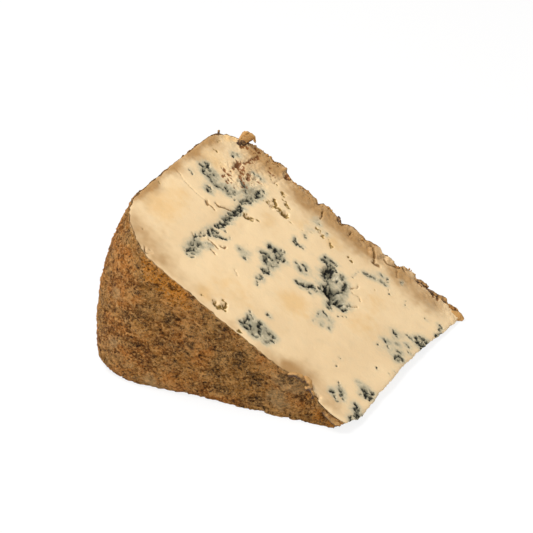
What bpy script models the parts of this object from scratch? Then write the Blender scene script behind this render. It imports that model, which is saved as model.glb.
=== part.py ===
"""A wedge of blue cheese, cut from a small drum-shaped wheel and lying on one of its two cut faces.

The wheel's axis runs along Y, so the flat front of the wheel faces -Y and the flat back faces +Y. The thin
end of the wedge, where the two cuts meet, points to +X, and the round side of the wheel is at -X. The origin
is the middle of the box around the wedge, on the surface that it lies on. Units are metres.

The wedge starts as a cube that is divided into a grid. Each point of the cube then moves to its place in the
wedge: X becomes the distance from the wheel's axis, Y the depth through the wheel, and Z the angle between
the cuts.
"""

import math

import bmesh
import bpy
from mathutils import Vector, noise

# The wheel that the wedge was cut from
WHEEL_RADIUS = 0.100
WHEEL_THICKNESS = 0.089
BACK_RADIUS_GAIN = 0.002  # the side flares a little towards the back
SIDE_BULGE = 0.0006
LOWER_RADIUS_LOSS = 0.0018  # the wheel isn't quite round: it is flatter near the lower cut
FRONT_ROUNDING = 0.0245  # the edge between the front and the side
BACK_ROUNDING = 0.014

# The cuts
WEDGE_ANGLE = math.radians(31.7)
THIN_END_LIFT = 0.0012  # the upper cut runs out this far above the lower one, at the back
BROKEN_TIP = 0.0035  # how much of the thin end has crumbled away
BROKEN_CORNER = 0.0020  # and how much more at its front corner
CORNER_LENGTH = 0.006
UNDERCUT = 0.003  # the thin end leans out over the surface
BROKEN_FROM = 0.45  # the share of the way to the back where the crumbled part starts to narrow
RAGGEDNESS = 0.0006
RAGGED_LENGTH = 0.007

# Unevenness
RIND_WAVE = 0.0005
RIND_WAVE_LENGTH = 0.018
CUT_WAVE = 0.00035
CUT_WAVE_LENGTH = 0.022
RIM_CHIPS = 0.0007
RIM_CHIP_LENGTH = 0.006
WAVE_RISE = 0.04  # how far the rind's waves run in the noise from the lower cut to the upper
RAGGED_SLICE = 3.0  # where the noise is read for the thin end
CHIP_SLICE = 5.0  # and for the chips

# Hollows in the upper cut: (distance from the axis, depth through the wheel, radius, how deep)
POCKETS = (
    (0.034, 0.047, 0.0050, 0.0045),  # the open pocket at the middle
    (0.040, 0.057, 0.0050, 0.0025),  # the shallow one beside it
    (0.044, 0.008, 0.0048, 0.0020),  # the one near the front rind
    (0.068, 0.067, 0.0045, 0.0018),  # the crumbled one near the back rind
)
CHANNEL_DISTANCE = 0.076  # the needle channel that the cut laid open
CHANNEL_ENDS = (0.018, 0.062)
CHANNEL_WIDTH = 0.0035
CHANNEL_DEPTH = 0.0012

# The scrap of rind that stands up at the back corner
SCRAP_DISTANCE = 0.094
SCRAP_DEPTH = 0.086
SCRAP_RADIUS = 0.0045
SCRAP_HEIGHT = 0.0040

# The grid
CELLS_ALONG_RADIUS = 38
CELLS_THROUGH_WHEEL = 34
CELLS_BETWEEN_CUTS = 11

CHEESE_COLOUR = (0.83, 0.66, 0.42, 1.0)
CHEESE_ROUGHNESS = 0.55
RIND_COLOUR = (0.23, 0.12, 0.05, 1.0)
RIND_ROUGHNESS = 0.85
SHARP_ANGLE = math.radians(45.0)

# How directly a face must look along a direction to count as part of a cut or of the thin end
UPPER_CUT_FACING = 0.7
LOWER_CUT_FACING = 0.95
THIN_END_FACING = 0.5


def clear_scene():
    """Removes what the startup scene holds."""
    for obj in list(bpy.data.objects):
        bpy.data.objects.remove(obj)


def make_material(name, colour, roughness):
    """A plain Principled material."""
    material = bpy.data.materials.new(name)
    material.use_nodes = True
    shader = material.node_tree.nodes["Principled BSDF"]
    shader.inputs["Base Color"].default_value = colour
    shader.inputs["Roughness"].default_value = roughness
    shader.inputs["Metallic"].default_value = 0.0
    return material


def smooth(low, high, value):
    """0 below low, 1 above high, and a smooth rise between them."""
    share = min(1.0, max(0.0, (value - low) / (high - low)))
    return share * share * (3.0 - 2.0 * share)


def divided_cube():
    """A unit cube from 0 to 1 whose faces are divided into the grid's cells."""
    bm = bmesh.new()
    bmesh.ops.create_cube(bm, size=1.0)
    bmesh.ops.translate(bm, verts=bm.verts, vec=(0.5, 0.5, 0.5))
    counts = (CELLS_ALONG_RADIUS, CELLS_THROUGH_WHEEL, CELLS_BETWEEN_CUTS)
    for axis, count in enumerate(counts):
        parallel = [e for e in bm.edges if abs(e.verts[0].co[axis] - e.verts[1].co[axis]) > 0.5]
        bmesh.ops.subdivide_edges(bm, edges=parallel, cuts=count - 1, use_grid_fill=True)
    return bm


def side_radius(through, up):
    """The wheel's radius, for shares of the way from front to back and from the lower cut to the upper."""
    bulge = SIDE_BULGE * 4.0 * through * (1.0 - through)
    flatter = LOWER_RADIUS_LOSS * (1.0 - up) ** 2
    return WHEEL_RADIUS + BACK_RADIUS_GAIN * through + bulge - flatter


def thin_end(depth, up):
    """How far from the wheel's axis the thin end is, up being 0 on the lower cut and 1 on the upper."""
    tip = BROKEN_TIP * (1.0 - smooth(BROKEN_FROM, 1.0, depth / WHEEL_THICKNESS))
    corner = BROKEN_CORNER * (1.0 - smooth(0.0, CORNER_LENGTH, depth))
    ragged = RAGGEDNESS * noise.noise(Vector((0.0, depth / RAGGED_LENGTH, RAGGED_SLICE)))
    return tip + corner + ragged + UNDERCUT * (1.0 - up)


def rounded(distance, depth, radius):
    """Moves a point near one of the wheel's two sharp edges onto or inside its rounding."""
    front = depth < FRONT_ROUNDING
    size = FRONT_ROUNDING if front else BACK_ROUNDING
    edge = 0.0 if front else WHEEL_THICKNESS
    out = (distance - (radius - size)) / size
    along = (size - abs(depth - edge)) / size
    if out <= 0.0 or along <= 0.0:
        return distance, depth
    round_out = out * math.sqrt(1.0 - along * along / 2.0)
    round_along = along * math.sqrt(1.0 - out * out / 2.0)
    depth = size * (1.0 - round_along) if front else edge - size * (1.0 - round_along)
    return radius - size + size * round_out, depth


def bell(distance):
    """A soft bump, 1 in the middle and 0 from a distance of 1."""
    return max(0.0, 1.0 - distance * distance) ** 2


def cut_relief(distance, depth):
    """How far the upper cut stands above its plane, with its waves, hollows and the scrap of rind."""
    height = CUT_WAVE * noise.noise(Vector((distance, depth, 0.0)) / CUT_WAVE_LENGTH)
    for pocket_distance, pocket_depth, radius, deep in POCKETS:
        away = math.hypot(distance - pocket_distance, depth - pocket_depth)
        height -= deep * bell(away / radius)
    beyond = max(CHANNEL_ENDS[0] - depth, depth - CHANNEL_ENDS[1], 0.0)
    away = math.hypot(distance - CHANNEL_DISTANCE, beyond)
    height -= CHANNEL_DEPTH * bell(away / CHANNEL_WIDTH)
    away = math.hypot(distance - SCRAP_DISTANCE, depth - SCRAP_DEPTH)
    return height + SCRAP_HEIGHT * bell(away / SCRAP_RADIUS)


def place(along, through, up):
    """The wedge's point for a point of the unit cube."""
    radius = side_radius(through, up)
    depth = through * WHEEL_THICKNESS
    tip = thin_end(depth, up)
    distance, depth = rounded(tip + (radius - tip) * along, depth, radius)
    on_rind = along == 1.0 or through in (0.0, 1.0)
    if on_rind:
        wave = noise.noise(Vector((distance, depth, WAVE_RISE * up)) / RIND_WAVE_LENGTH)
        distance += RIND_WAVE * wave * along
        depth += RIND_WAVE * wave * (1.0 - smooth(0.0, 1.0, along)) * (1.0 - 2.0 * through)
    angle = WEDGE_ANGLE * up
    x = -distance * math.cos(angle)
    z = distance * math.sin(angle) + THIN_END_LIFT * through * up
    if up == 1.0:
        relief = cut_relief(distance, depth)
        if on_rind:
            relief += RIM_CHIPS * noise.noise(Vector((distance, depth, CHIP_SLICE)) / RIM_CHIP_LENGTH)
        x += relief * math.sin(angle)
        z += relief * math.cos(angle)
    return Vector((x, depth, z))


def stand_on_origin(mesh):
    """Moves the mesh so that the middle of its box's underside is at the origin."""
    points = [v.co for v in mesh.vertices]
    low = [min(p[axis] for p in points) for axis in range(3)]
    high = [max(p[axis] for p in points) for axis in range(3)]
    middle = Vector(((low[0] + high[0]) / 2.0, (low[1] + high[1]) / 2.0, low[2]))
    for vertex in mesh.vertices:
        vertex.co -= middle


def colour_faces(mesh):
    """Gives the faces of the two cuts and the thin end the cheese's material, and the others the rind's."""
    cut = Vector((math.sin(WEDGE_ANGLE), 0.0, math.cos(WEDGE_ANGLE)))
    for face in mesh.polygons:
        on_cut = face.normal.dot(cut) > UPPER_CUT_FACING or face.normal.z < -LOWER_CUT_FACING
        on_thin_end = face.normal.x > THIN_END_FACING
        face.material_index = 0 if on_cut or on_thin_end else 1


def make_wedge(collection):
    """The cheese, as one solid."""
    bm = divided_cube()
    for vertex in bm.verts:
        vertex.co = place(*(round(c, 6) for c in vertex.co))
    bmesh.ops.recalc_face_normals(bm, faces=bm.faces)
    mesh = bpy.data.meshes.new("cheese_wedge")
    bm.to_mesh(mesh)
    bm.free()
    stand_on_origin(mesh)
    mesh.materials.append(make_material("cheese", CHEESE_COLOUR, CHEESE_ROUGHNESS))
    mesh.materials.append(make_material("rind", RIND_COLOUR, RIND_ROUGHNESS))
    colour_faces(mesh)
    mesh.shade_smooth()
    mesh.set_sharp_from_angle(angle=SHARP_ANGLE)
    wedge = bpy.data.objects.new("cheese_wedge", mesh)
    collection.objects.link(wedge)
    return wedge


def main():
    clear_scene()
    collection = bpy.data.collections.new("blue_cheese_wedge")
    bpy.context.scene.collection.children.link(collection)
    make_wedge(collection)


main()
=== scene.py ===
"""The looks of a wedge of blue cheese that lies on one of its two cut faces.

Places on the wedge are given in face coordinates: the distance from the wheel's axis, which is 0 at the thin end
and the wheel's radius at the side, and the depth from the wheel's flat front. Both are in millimetres.
"""

import math

import bpy
import numpy as np
from bpy.props import FloatProperty, FloatVectorProperty, PointerProperty
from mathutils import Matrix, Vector, noise


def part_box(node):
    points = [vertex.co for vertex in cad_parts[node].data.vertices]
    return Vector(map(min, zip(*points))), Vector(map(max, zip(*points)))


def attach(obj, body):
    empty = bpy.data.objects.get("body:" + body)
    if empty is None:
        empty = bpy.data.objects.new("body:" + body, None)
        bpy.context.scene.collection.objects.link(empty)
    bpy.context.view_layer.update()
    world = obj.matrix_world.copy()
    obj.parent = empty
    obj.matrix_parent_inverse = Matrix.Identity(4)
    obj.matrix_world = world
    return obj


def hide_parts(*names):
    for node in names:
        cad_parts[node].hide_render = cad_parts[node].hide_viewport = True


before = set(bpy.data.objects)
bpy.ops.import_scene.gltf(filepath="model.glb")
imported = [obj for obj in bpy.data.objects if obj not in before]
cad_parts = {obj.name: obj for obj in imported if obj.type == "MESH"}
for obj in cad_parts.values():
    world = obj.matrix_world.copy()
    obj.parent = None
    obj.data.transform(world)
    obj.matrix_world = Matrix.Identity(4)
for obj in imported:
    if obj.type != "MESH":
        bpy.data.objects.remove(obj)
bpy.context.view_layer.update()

bl_info = {
    "name": "Blue Cheese Wedge",
    "version": (1, 0, 0),
    "blender": (4, 5, 0),
    "location": "View3D > Sidebar > Cheese",
    "description": "Builds a wedge of blue cheese with its rind, veins and crumbs",
    "category": "Add Mesh",
}

CAD_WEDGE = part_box("cheese_wedge")
MM = 0.001

# Where the wheel's axis and its flat front lie, from the middle of the wedge's box
AXIS_X = 50.29
FRONT_Y = -44.53

# The grids
CELLS_ALONG = 294
CELLS_THROUGH = 246
UNDERSIDE_STEP = 3  # cells of the upper cut to one of the underside
PASTE_LEVELS = (0.985, 0.95, 0.88, 0.75, 0.6, 0.4, 0.2, 0.06)
RIND_FRONT_COLUMNS = 208
RIND_SIDE_COLUMNS = 192
RIND_BACK_COLUMNS = 192
RIND_ROWS = 112
RIND_INNER_STEP = 8

# The ragged edge of the cut along the wheel's back: (distance, depth)
BACK_RIM = (
    (0, 88.4), (3, 89), (6, 87.6), (9, 88.8), (12, 87), (16, 87.6), (19, 87.2), (21, 89.8), (25, 89.6),
    (26.2, 86.2), (29, 87.2), (31.5, 88.3), (33, 86.3), (35, 88.6), (39, 88.3), (40, 86.9), (43, 87.8),
    (46.5, 88.2), (48, 87), (50.3, 84.7), (52, 86.8), (55, 88.2), (59, 88.2), (60, 85.7), (61.2, 87.4),
    (64, 88.4), (68, 88.2), (70.5, 86.8), (72, 87.5), (74, 88.8), (75.4, 88.7), (76, 91), (79.2, 91),
    (80.6, 89.5), (84, 90.3), (87, 90), (90, 89.2), (94, 88.6), (100, 88.8),
)
# How far the edge of the cut stands in from the wheel's front: (distance, depth)
FRONT_RIM = (
    (0, 0), (4, -0.4), (7, -1.5), (11, -1.9), (15, -1.2), (18, 0.2), (20, 1.6), (23, 2.6), (26, 1.6), (29, 0.5),
    (34, 0.2), (60, 0), (63, 0.5), (66, 0.4), (72, 0.6), (80, 0.5), (84, 0), (100, 0),
)

# Blue mould, in strokes along points: (strength, half width, ((distance, depth), ...))
CHANNEL_MOULD = (
    (0.95, 1.15, ((76.4, 32), (75.6, 35))), (0.95, 1.1, ((76.2, 38), (75.4, 43))), (0.95, 1.2, ((76, 43), (76, 48))),
    (0.95, 1.2, ((76.3, 48), (75.6, 51.5), (76, 55))), (0.95, 1.1, ((77, 57.5), (75.8, 60.5))),
    (0.55, 1.4, ((76, 61), (75, 70))), (0.95, 1.2, ((75.8, 67.6), (75.6, 65.8))), (0.5, 0.9, ((77.5, 30), (77.8, 27))),
    (0.8, 0.6, ((78.3, 26.6), (78, 24))), (0.85, 0.7, ((75.8, 24.4), (75.5, 22.6))),
    (0.62, 1.5, ((77, 21.5), (75.6, 18.6))), (0.5, 1.5, ((76.5, 17.3), (74.8, 16.6))),
    (0.75, 0.6, ((74.5, 32.5), (73.4, 33.8), (71, 35.2))), (0.7, 0.7, ((74.8, 27), (72.6, 27.3))),
    (0.5, 0.5, ((74, 38.5), (73.2, 38))), (0.5, 0.5, ((71, 37.4), (70.6, 36.2))),
    (0.45, 1.1, ((56, 50), (55, 44))), (0.45, 1.0, ((55, 41), (55, 29))), (1.0, 1.2, ((60, 47.3), (57.4, 47.6))),
    (1.0, 1.1, ((56.3, 45.6), (54, 46.4))), (1.0, 0.9, ((59, 41.4), (58.2, 40.2), (57.2, 39))),
    (0.8, 0.7, ((61, 42), (58.6, 43), (56.3, 42.4))), (1.0, 0.9, ((56, 34.8), (54.2, 35.3))),
    (0.7, 0.6, ((55, 32), (55, 31))), (0.85, 0.8, ((56.6, 60.2), (56.3, 58.9), (55, 58.2), (53.2, 58.8))),
    (0.65, 0.6, ((55.2, 65.3), (54.6, 64.4))), (0.4, 1.1, ((57, 77.4), (55.3, 76.6))),
    (0.75, 0.6, ((66.8, 35.6), (66.2, 35.2))), (0.8, 0.6, ((63.3, 33.6), (62.6, 33.3))),
    (0.6, 0.6, ((54.8, 27.4), (54, 26.2))), (0.4, 0.5, ((34.6, 69), (34.6, 64))),
)
MIDDLE_MOULD = (
    (1.0, 2.3, ((37.5, 48.4), (34.5, 47.6), (32.8, 46.4))), (1.4, 1.5, ((37.4, 48.2), (35.8, 48.2))), (1.4, 1.3, ((32.6, 46.8), (30.8, 45.7))),
    (1.0, 0.9, ((29.6, 46.2), (29, 45.4))), (0.95, 1.0, ((34, 45), (33.8, 43), (33.2, 41.4))),
    (0.75, 0.6, ((29, 49.6), (28.8, 47.2))), (0.95, 0.7, ((34.5, 58), (34.2, 56), (33.5, 54), (33.3, 52.5))),
    (0.9, 0.7, ((34.2, 51.6), (35, 50.4))), (1.0, 1.4, ((40.8, 60), (41.6, 57), (42.2, 55.4), (40.8, 54))),
    (0.95, 0.9, ((45, 60.8), (43, 60.4), (40, 60.6))), (0.7, 0.7, ((45.3, 63), (43, 63.2), (41, 63.3))),
    (0.75, 0.8, ((39.8, 52.3), (38, 51.6))), (0.75, 0.8, ((37.2, 60.3), (36.5, 59))), (0.55, 0.8, ((37.6, 57), (37.4, 55))),
    (1.0, 0.9, ((46, 42), (44, 42.2), (42.6, 43.5), (41.5, 44.7))), (0.8, 0.8, ((41.5, 44.5), (39.8, 44.2))),
    (0.7, 0.7, ((39.6, 46.2), (37.8, 45.6))), (0.5, 0.5, ((42, 41.7), (40, 41))), (0.8, 0.6, ((50.5, 49.5), (48.5, 48.4))),
    (0.85, 0.5, ((48.6, 51), (46.9, 51), (46.5, 49.6))), (0.65, 0.6, ((48, 47.8), (46, 47.5))),
    (0.7, 0.6, ((50.6, 74.8), (50.4, 74.2))), (0.7, 0.5, ((33.3, 38), (31.8, 37.3))),
    (0.4, 0.4, ((34.3, 37), (34.2, 34), (33.7, 30))), (0.7, 0.5, ((31.3, 31.9), (31, 31.5))),
    (0.8, 0.5, ((28.5, 33.1), (28.3, 32.6))), (0.4, 0.4, ((31, 37), (29.5, 36.2))), (0.4, 0.4, ((29.3, 40.6), (27.2, 43.6))),
    (0.95, 0.6, ((26.8, 72.7), (25, 72.8))), (0.65, 0.5, ((28.6, 75.8), (28, 75.2))), (0.55, 0.5, ((26, 76), (25.2, 75))),
    (0.75, 0.8, ((32.8, 70.4), (31, 70.9))), (0.45, 0.7, ((30.2, 71.4), (29, 71.6))), (0.8, 0.6, ((21.7, 79.8), (21.4, 79.2))),
    (0.5, 0.6, ((8.2, 71.6), (7.3, 71.4))), (0.35, 0.7, ((16.5, 72), (15.5, 70))), (0.35, 0.7, ((23, 71.8), (22, 69.5))),
)
FRONT_MOULD = (
    (1.0, 0.9, ((48.3, 10), (47.8, 8.3), (48.3, 7))), (1.0, 0.6, ((49.2, 5.8), (47.6, 4.8), (46.2, 5.2))),
    (0.95, 0.55, ((46.4, 7.6), (45.9, 6.2), (45.6, 5.2))), (0.95, 0.7, ((45, 11.6), (44, 9.6), (43, 8.5), (42.4, 7))),
    (0.9, 0.6, ((44.6, 9.4), (45, 10.4))), (1.0, 0.7, ((43.8, 4.6), (42.6, 4.9))), (0.7, 0.6, ((44.2, 12), (42, 11), (40.5, 10.3))),
    (0.85, 0.8, ((40, 10.6), (38.6, 10.4))), (0.65, 0.7, ((38.2, 8.4), (38.8, 6.6), (39.3, 5.2))),
    (0.6, 0.5, ((49.6, 13), (48.2, 11.3))), (0.9, 0.6, ((48.2, 11.4), (47.8, 11.1))), (0.8, 0.7, ((44.8, 17.4), (44.2, 17))),
    (0.95, 0.8, ((94.6, 62), (93.2, 60.6), (92.4, 60))), (0.8, 0.6, ((95.6, 59.3), (94, 59.5))),
    (0.95, 0.8, ((93.4, 58), (93.2, 57.2))), (0.75, 0.5, ((92.6, 56.8), (90.4, 57))), (0.75, 0.5, ((91, 58.3), (90, 59.4))),
    (0.5, 0.5, ((94.6, 63.5), (94.4, 62.4))), (0.7, 0.6, ((89.5, 56.3), (88, 55.8), (86.5, 55.5), (84.8, 56.5), (83.8, 57.8))),
    (0.75, 0.8, ((83.8, 58.2), (83.4, 57.2))), (0.7, 0.7, ((82.8, 56.6), (81.4, 56.2))), (0.55, 0.7, ((81.3, 59.2), (81, 58))),
    (0.4, 0.5, ((79.4, 56), (79.2, 55.4))), (0.9, 0.9, ((88, 51.8), (87.2, 50.4))), (0.5, 0.8, ((96, 52.4), (95, 52.2))),
    (0.6, 0.6, ((92, 77), (91, 75.3))), (0.6, 0.6, ((91, 78.4), (90.2, 78.2))), (0.5, 0.6, ((82.4, 75.6), (81.6, 75.4))),
    (0.5, 0.6, ((80.2, 76.2), (79, 75.6))), (0.8, 0.6, ((82.6, 66.8), (80.8, 66), (79.5, 64.6), (78.7, 63.6))),
)
THIN_END_MOULD = (
    (0.9, 0.7, ((2.7, 73.8), (2.2, 72.3), (1.8, 71.3))), (0.8, 0.8, ((1.3, 70), (2, 68))), (1.0, 1.0, ((5, 60.8), (3, 61.2), (2.3, 61))),
    (1.0, 1.0, ((5.8, 59), (4.2, 58.8), (3, 58.3))), (1.0, 0.8, ((5, 57.2), (3.8, 57.4))), (0.7, 0.5, ((3.3, 56.8), (3, 56.1))),
    (0.4, 0.8, ((9, 57), (6.5, 57))), (0.95, 0.9, ((12.6, 54.2), (11.6, 53.4))), (0.8, 0.6, ((6.7, 52.6), (6.2, 52.3))),
    (0.5, 0.6, ((5.2, 50.1), (4.6, 50))), (0.5, 0.6, ((9.5, 49.6), (9.1, 49.3))), (0.85, 0.6, ((13.9, 46.9), (12.7, 46.8))),
    (0.8, 0.6, ((7.9, 46.6), (7, 47.3))), (0.45, 0.7, ((11, 45.3), (10.2, 45))), (0.95, 0.9, ((6.4, 44.6), (5, 44.7))),
    (0.9, 0.8, ((7.1, 43.6), (6.3, 42.6))), (0.55, 0.6, ((14, 42.4), (13.6, 42))), (0.4, 0.5, ((4.8, 36.6), (4.2, 36.3))),
    (0.35, 0.5, ((5.6, 33.6), (5.2, 33.2))), (0.4, 0.5, ((9.4, 32), (9, 31.6))), (0.3, 0.6, ((16.2, 32.6), (15.6, 32.2))),
    (1.0, 1.0, ((7.6, 18.3), (6.5, 17.5), (6, 16.4))), (0.9, 0.8, ((5, 18.8), (4.6, 17.5), (5, 16.4))),
    (0.75, 0.6, ((6.6, 20), (5.2, 20.2))), (0.7, 0.5, ((7.9, 15.4), (7.5, 15.2))), (0.45, 0.6, ((11.2, 20), (10.4, 20))),
    (0.9, 0.6, ((13.3, 10.9), (12.3, 10))), (1.0, 0.7, ((15.1, 7.4), (14.5, 8))), (0.8, 0.6, ((12.2, 9), (10.8, 8.8), (10.5, 8))),
    (0.75, 0.5, ((14, 6.8), (13, 6.3), (12, 5.5))), (0.5, 0.5, ((15.1, 13.1), (14.6, 12.4))), (0.9, 0.8, ((6.8, 9.5), (5.7, 9.3))),
    (1.0, 0.9, ((6, 7.8), (5, 7.2), (4.5, 6.2))), (0.7, 0.6, ((3.6, 7.8), (2.9, 8))), (0.9, 0.6, ((4.8, 4.6), (3.6, 4.3))),
    (0.85, 0.7, ((5.8, 3.5), (5.3, 2.3), (4.8, 1.5))), (0.35, 0.6, ((19.8, 23.8), (19.4, 23.4))), (0.3, 0.7, ((19.8, 20), (19.2, 19.2))),
)
# Olive and brown moist hollows
OLIVE_HOLLOWS = (
    (1.0, 1.0, ((74, 53.3), (72.5, 52), (71, 52.6))), (0.55, 0.7, ((70.6, 53.5), (69, 54.6))), (0.65, 1.9, ((71.3, 67), (69.5, 67.3))),
    (1.0, 0.8, ((70.9, 70.2), (69.6, 69.3), (68.4, 67.8))), (1.0, 1.1, ((66.8, 67.2), (64.8, 68), (63.8, 67))),
    (0.95, 0.9, ((64.3, 69.2), (64, 66.4))), (0.45, 0.5, ((62, 66.2), (58, 66.7), (55.5, 67.5), (54.4, 69.2))),
    (0.9, 0.7, ((68.8, 73.8), (67, 72.8), (65.4, 72))), (0.95, 1.0, ((70.9, 77), (69.7, 76.3))), (0.65, 0.6, ((74.2, 78.8), (73.8, 78.2))),
    (0.65, 0.5, ((78.2, 80.5), (77, 79.3))), (0.9, 0.8, ((53.9, 73.3), (52.5, 72.8), (50.8, 71.2))), (0.9, 0.8, ((47.2, 70.8), (46, 69.6))),
    (0.9, 0.8, ((39.9, 71.9), (38.6, 71.2))), (0.4, 0.5, ((50, 72.8), (48, 72.3))), (1.0, 1.1, ((58.6, 5), (57, 4.4), (56, 5.3))),
    (0.9, 0.9, ((57.2, 8.5), (56, 7), (55, 5.5))), (0.75, 0.7, ((63, 3.2), (62.8, 4.4))), (0.9, 0.7, ((47.6, 1.8), (47, 1.5))),
    (0.85, 0.6, ((97.1, 72), (95.8, 71.4))), (0.6, 0.6, ((98.8, 76.8), (97.6, 78.4))), (0.7, 0.5, ((92, 67.6), (91.8, 67))),
    (0.75, 0.4, ((91, 11.8), (90.8, 11.3))), (0.7, 0.5, ((99.5, 36.3), (99, 36))), (0.45, 0.5, ((27, 66.8), (26, 65.6))),
)
# Fine cracks: (strength, half width, points)
CRACKS = (
    (0.4, 0.25, ((100, 48), (97, 47.2), (95, 46), (92, 45.3), (88, 44.8), (85.2, 44.8))), (1.0, 0.55, ((85, 45), (83.8, 43.8))),
    (0.6, 0.3, ((83.6, 44.4), (81, 44))), (0.95, 0.4, ((82.4, 47.1), (81, 47), (79.5, 48.6), (77.5, 49.7))),
    (0.9, 0.35, ((74.8, 29.3), (72.5, 29), (70.8, 28.6))), (0.75, 0.3, ((70.9, 30.4), (69.8, 30.6), (69.3, 31.8))),
    (0.6, 0.3, ((79.9, 26.3), (78.5, 25))), (0.7, 0.35, ((72, 25.7), (69.8, 24.9))), (0.8, 0.3, ((57, 83.5), (56.3, 81.5), (55.8, 79))),
    (0.6, 0.3, ((45.3, 85), (45.2, 82))), (0.5, 0.3, ((25.3, 84), (24.6, 82), (24, 80.5))),
    (1.0, 0.45, ((37.2, 86.2), (35, 83), (33.5, 80.5), (32.8, 79))), (1.0, 0.7, ((33, 78.8), (31.2, 79.2))),
    (0.9, 0.35, ((31.3, 84.8), (29.8, 83.3), (27, 85), (25, 87.2), (23.5, 86.8))), (0.5, 0.3, ((31.3, 62), (31, 60), (32.6, 57.4), (30.8, 56))),
    (0.55, 0.3, ((28, 50), (26.7, 51.8))), (0.35, 0.3, ((62.2, 25), (60.4, 23.4))), (0.4, 0.3, ((75.2, 78), (74.6, 84), (73.6, 85.6))),
    (0.4, 0.3, ((30.6, 56), (28.5, 57), (27.3, 55.6))), (0.5, 0.3, ((86, 4.9), (84.5, 3), (83, 4.8), (84.6, 5.2))),
)
# Reddish-brown streaks in the crumbly part near the back
STAINS = (
    (1.0, 1.3, ((88, 75), (87.5, 73), (87, 71.8))), (0.85, 1.0, ((86.5, 74), (85, 72.5), (85, 71))), (0.8, 0.8, ((88, 70), (87.4, 69.8))),
    (0.95, 0.8, ((82.9, 72.6), (81.8, 71), (81.5, 70.2))), (0.75, 0.6, ((80, 73), (77.5, 73))), (0.75, 0.9, ((90.3, 66), (88, 65.5), (86, 65))),
    (0.8, 0.5, ((89, 62.8), (85, 61))), (0.75, 0.5, ((88, 63.6), (84.5, 62.5))), (0.85, 0.7, ((84.6, 69), (83.4, 67.6), (80.5, 66))),
    (0.8, 0.8, ((86.5, 76.5), (86, 79), (86, 81.5), (85.5, 84.5))), (0.55, 0.8, ((85.5, 85), (88, 85), (92, 85.5))),
    (1.0, 1.2, ((93.4, 90), (93, 87.5), (92.5, 85), (92, 83.6))), (0.75, 1.0, ((88, 88), (86.5, 87.5))), (1.0, 1.0, ((74, 88), (73.2, 87), (73.6, 85.6))),
    (0.5, 0.9, ((79, 82), (76.5, 81.5))), (0.5, 0.9, ((82, 86), (80, 84))), (0.85, 0.6, ((50.8, 86), (50, 84.2))), (0.75, 0.6, ((60.4, 87), (60, 85.5))),
    (0.8, 0.6, ((12.5, 86.8), (11, 85))), (0.8, 0.6, ((9.6, 88), (9.3, 85.4))), (0.8, 0.5, ((19.2, 86.7), (16, 85.6))),
)
# Open hollows in the cut: (distance, depth, radius, how deep)
POCKETS = (
    (35.5, 48, 3.0, 2.8), (32.2, 46.6, 2.4, 3.2), (40.8, 57.4, 2.8, 2.0), (38.6, 56.6, 2.4, 1.3), (48, 8, 1.6, 0.8),
    (44.2, 6.6, 1.7, 0.8), (58, 5, 1.7, 1.1), (56, 6.8, 1.3, 0.8), (69.8, 67.2, 2.2, 0.8), (65, 67.6, 1.9, 1.4),
    (72.5, 52.4, 1.4, 1.1), (87.4, 73, 1.9, 1.2), (82, 71.2, 1.2, 0.8), (50.3, 85.4, 1.4, 1.2), (32, 79, 1.1, 1.2),
    (84.6, 4, 1.8, 0.5), (70.3, 76.7, 1.1, 0.7), (52.5, 72.8, 1.0, 0.7), (73.6, 86, 1.3, 1.2), (17, 0.8, 1.3, 1.4),
)
# Tints of the paste: (distance, depth, radius, strength)
WARM_PATCHES = (
    (93, 27, 9, 1.0), (92, 38, 7, 0.8), (97, 84, 5, 1.3), (94, 66, 8, 0.8), (43, 33, 7, 0.9), (47, 73, 5, 1.0), (60, 69, 5, 0.8),
    (24, 60, 9, 0.6), (22, 44, 9, 0.6), (40, 29, 8, 0.5), (66, 59, 7, 0.5), (62, 14, 8, 0.3), (57, 17, 9, 0.4), (63, 5, 4, 0.9),
)
TAN_PATCHES = (
    (88, 13, 9, 0.2), (80, 8, 8, 0.25), (70, 2, 8, 0.35), (60, 0, 7, 0.3), (50, 0, 6, 0.35),
    (99.5, 33, 5, 0.9), (100, 24, 5, 0.6), (97, 12, 8, 0.5), (90, 6, 9, 0.5), (80, 3, 7, 0.45), (29, 3, 6, 0.9), (22, 6, 7, 0.4),
    (38, 1, 6, 0.5), (12, 3, 7, 0.5), (25, 10, 8, 0.2), (66, 85, 10, 0.9), (52, 84, 9, 0.9), (38, 84, 9, 0.9), (24, 84, 8, 0.9),
    (10, 82, 9, 0.7), (60, 80, 8, 0.35), (44, 80, 8, 0.35), (16, 78, 9, 0.3), (99, 62, 6, 0.7), (99, 74, 6, 0.6), (84, 80, 9, 0.5),
    (79, 87, 6, 1.0), (88, 87, 6, 0.8), (85, 70, 7, 0.35), (99, 48, 5, 0.5),
)
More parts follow.
